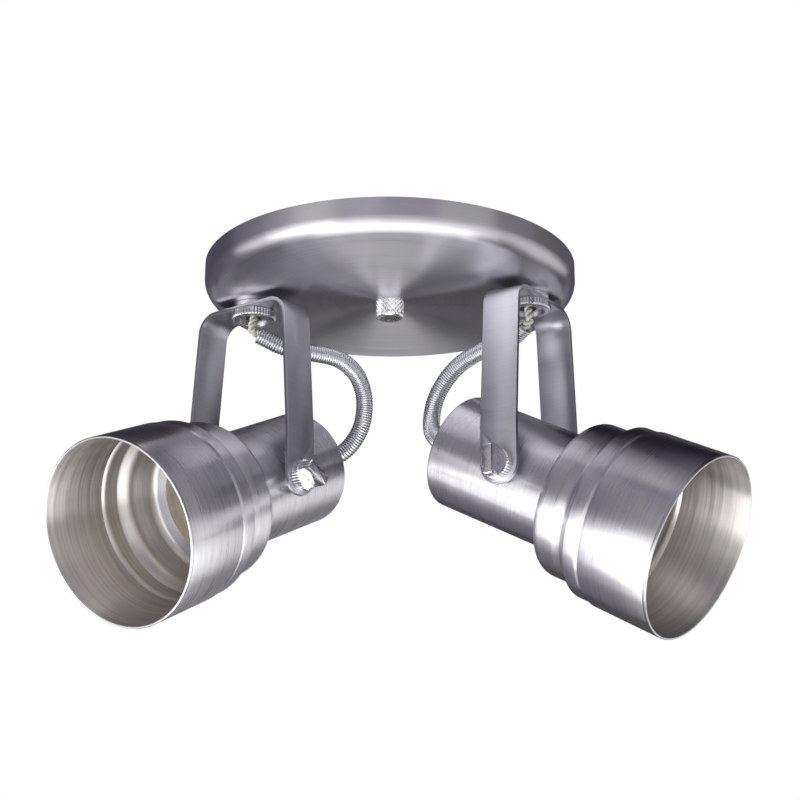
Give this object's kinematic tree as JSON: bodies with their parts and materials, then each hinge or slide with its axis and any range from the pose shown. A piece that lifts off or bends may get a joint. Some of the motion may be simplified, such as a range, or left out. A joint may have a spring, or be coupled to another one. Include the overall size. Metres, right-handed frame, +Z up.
{
  "type": "two-head ceiling spotlight",
  "caption": "Adjustable ceiling spotlight with stepped metal shades in U-shaped yokes on a round canopy, with flexible metal conduits and keyed thumb screws.",
  "frame": {"origin": "middle of the mounting bar's top face, in the plane of the ceiling", "axes": "+Z up through the ceiling, +X from the left nipple to the right one, -Y towards the viewer of the picture"},
  "size_m": [0.2618, 0.1571, 0.1554],
  "materials": {
    "canopy_steel": "fine circular brushing, satin",
    "shade_steel": "fine turned brushing, satin",
    "neck_steel": "fine turned brushing, satin",
    "yoke_steel": "satin, brushed along the strip",
    "collar_steel": "satin",
    "bright_nickel": "bright plated",
    "conduit_zinc": "bright zinc",
    "plated_steel": "zinc plated",
    "brass": "plain",
    "lead_sleeve": "woven glass-fibre sleeve, matt",
    "block_plastic": "matt",
    "bush_rubber": "matt",
    "porcelain": "glazed porcelain"
  },
  "bodies": {
    "canopy_body": {"canopy": "canopy_steel", "mounting_bar": "plated_steel", "centre_stud": "plated_steel", "stud_nut": "plated_steel", "terminal_block": "block_plastic", "terminal_inserts": "brass", "terminal_screws": "plated_steel", "block_screw": "plated_steel", "earth_screw": "plated_steel", "left_canopy_lead": "lead_sleeve", "right_canopy_lead": "lead_sleeve", "left_nipple": "brass", "left_lock_nut": "brass", "left_tooth_washer": "plated_steel", "left_spacer": "collar_steel", "left_ring_nut": "bright_nickel", "right_nipple": "brass", "right_lock_nut": "brass", "right_tooth_washer": "plated_steel", "right_spacer": "collar_steel", "right_ring_nut": "bright_nickel"},
    "centre_nut": {"centre_cap_nut": "bright_nickel"},
    "left_arm": {"left_yoke": "yoke_steel", "left_conduit": "conduit_zinc", "left_conduit_lead": "lead_sleeve"},
    "left_lamp": {"left_neck": "neck_steel", "left_shade": "shade_steel", "left_rear_bush": "bush_rubber", "left_holder_bracket": "plated_steel", "left_pivot_bushes": "collar_steel", "left_lampholder": "porcelain", "left_screw_shell": "brass", "left_centre_contact": "brass", "left_holder_screws": "plated_steel", "left_head_lead": "lead_sleeve"},
    "left_inner_screw": {"left_inner_thumb_screw": "bright_nickel"},
    "left_outer_screw": {"left_outer_thumb_screw": "bright_nickel"},
    "right_arm": {"right_yoke": "yoke_steel", "right_conduit": "conduit_zinc", "right_conduit_lead": "lead_sleeve"},
    "right_lamp": {"right_neck": "neck_steel", "right_shade": "shade_steel", "right_rear_bush": "bush_rubber", "right_holder_bracket": "plated_steel", "right_pivot_bushes": "collar_steel", "right_lampholder": "porcelain", "right_screw_shell": "brass", "right_centre_contact": "brass", "right_holder_screws": "plated_steel", "right_head_lead": "lead_sleeve"},
    "right_inner_screw": {"right_inner_thumb_screw": "bright_nickel"},
    "right_outer_screw": {"right_outer_thumb_screw": "bright_nickel"}
  },
  "joints": [
    {"name": "centre_nut_turn", "type": "hinge", "parent": "canopy_body", "child": "centre_nut", "pos_m": [0, 0, 0], "axis": [0, 0, 1], "range_deg": [-360, 0]},
    {"name": "left_swivel", "type": "hinge", "parent": "canopy_body", "child": "left_arm", "pos_m": [-0.056, 0, 0], "axis": [0, 0, 1], "range_deg": [-155, 40]},
    {"name": "left_tilt", "type": "hinge", "parent": "left_arm", "child": "left_lamp", "pos_m": [-0.056, 0, -0.0887], "axis": [0.8599, -0.5105, 0], "range_deg": [-45, 65], "deforming": ["left_conduit", "left_conduit_lead"]},
    {"name": "left_inner_screw_turn", "type": "hinge", "parent": "left_lamp", "child": "left_inner_screw", "pos_m": [-0.056, 0, -0.0887], "axis": [0.8599, -0.5105, 0], "range_deg": [0, 360]},
    {"name": "left_outer_screw_turn", "type": "hinge", "parent": "left_lamp", "child": "left_outer_screw", "pos_m": [-0.056, 0, -0.0887], "axis": [-0.8599, 0.5105, 0], "range_deg": [0, 360]},
    {"name": "right_swivel", "type": "hinge", "parent": "canopy_body", "child": "right_arm", "pos_m": [0.056, 0, 0], "axis": [0, 0, 1], "range_deg": [-75, 120]},
    {"name": "right_tilt", "type": "hinge", "parent": "right_arm", "child": "right_lamp", "pos_m": [0.056, 0, -0.0887], "axis": [0.4289, 0.9033, 0], "range_deg": [-47, 63], "deforming": ["right_conduit", "right_conduit_lead"]},
    {"name": "right_inner_screw_turn", "type": "hinge", "parent": "right_lamp", "child": "right_inner_screw", "pos_m": [0.056, 0, -0.0887], "axis": [-0.4289, -0.9033, 0], "range_deg": [0, 360]},
    {"name": "right_outer_screw_turn", "type": "hinge", "parent": "right_lamp", "child": "right_outer_screw", "pos_m": [0.056, 0, -0.0887], "axis": [0.4289, 0.9033, 0], "range_deg": [0, 360]}
  ]
}
